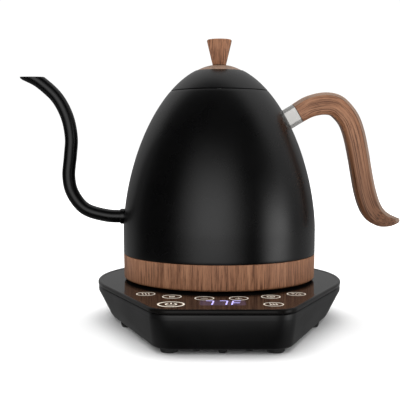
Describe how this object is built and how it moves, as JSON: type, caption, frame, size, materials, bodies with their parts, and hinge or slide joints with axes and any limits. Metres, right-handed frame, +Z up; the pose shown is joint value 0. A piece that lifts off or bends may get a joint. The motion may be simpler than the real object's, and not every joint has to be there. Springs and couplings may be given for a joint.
{
  "type": "electric kettle",
  "caption": "Electric gooseneck pour-over kettle with a domed lid, wooden knob, band and handle, standing on a cordless touch-control base.",
  "frame": {"origin": "centre of the whole object's footprint, on the surface the feet stand on", "axes": "+Z up. The front of the base, with the touch panel, faces -Y. The spout points to -X and the handle to +X. The kettle's upright axis is at x 6.65 mm, y 19.25 mm."},
  "size_m": [0.3105, 0.2364, 0.2262],
  "materials": {
    "painted_black_steel": "satin black paint on stainless steel",
    "satin_black_plastic": "satin moulded plastic",
    "gloss_black_plate": "glossy touch panel with pale printed symbols",
    "matt_black_plastic": "matt moulded plastic",
    "black_screw": "blackened steel screw",
    "walnut": "oiled walnut",
    "polished_steel": "polished stainless steel",
    "steel": "brushed stainless steel",
    "aluminium": "plain",
    "brass": "plain",
    "silicone": "translucent white silicone",
    "rubber": "matt black rubber",
    "circuit_board": "green solder mask",
    "display": "blue-violet segment display"
  },
  "bodies": {
    "base": {"base_bottom_cover": "matt_black_plastic", "base_housing": "satin_black_plastic", "base_screw_1": "black_screw", "base_screw_2": "black_screw", "base_screw_3": "black_screw", "base_screw_4": "black_screw", "base_screw_5": "black_screw", "base_screw_6": "black_screw", "base_socket": "matt_black_plastic", "base_top_plate": "gloss_black_plate", "buzzer": "matt_black_plastic", "capacitor": "aluminium", "cord_gland": "rubber", "display_module": "display", "foot_front_left": "rubber", "foot_front_middle": "rubber", "foot_front_right": "rubber", "foot_rear_left": "rubber", "foot_rear_right": "rubber", "foot_side_left": "rubber", "foot_side_right": "rubber", "power_board": "circuit_board", "power_relay": "matt_black_plastic", "ring_contact": "brass", "touch_board": "circuit_board", "transformer": "brass"},
    "swivel": {"centre_contact": "brass"},
    "kettle": {"body_shell": "painted_black_steel", "connector_pin": "brass", "connector_ring": "brass", "connector_screw_1": "steel", "connector_screw_2": "steel", "connector_screw_3": "steel", "handle_ferrule": "polished_steel", "handle_grip": "walnut", "handle_stud": "steel", "heater_plate": "aluminium", "heating_element": "steel", "kettle_bottom_cover": "matt_black_plastic", "kettle_connector": "matt_black_plastic", "sensor_seal": "silicone", "spout_collar": "painted_black_steel", "spout_tube": "painted_black_steel", "temperature_sensor": "steel", "terminal_front": "brass", "terminal_rear": "brass", "thermostat_disc": "brass", "vessel_floor": "steel", "wood_band": "walnut"},
    "lid": {"lid_cap": "walnut", "lid_inner_plate": "steel", "lid_knob": "walnut", "lid_knob_screw": "steel", "lid_seal": "silicone", "lid_shell": "painted_black_steel"}
  },
  "joints": [
    {"name": "kettle_swivel", "type": "hinge", "parent": "base", "child": "swivel", "pos_m": [0.00665, 0.01925, 0.03], "axis": [0, 0, 1], "continuous": true},
    {"name": "kettle_lift", "type": "slide", "parent": "swivel", "child": "kettle", "axis": [0, 0, 1], "range_m": [0, 0.15]},
    {"name": "lid_lift", "type": "slide", "parent": "kettle", "child": "lid", "axis": [0, 0, 1], "range_m": [0, 0.08]}
  ]
}
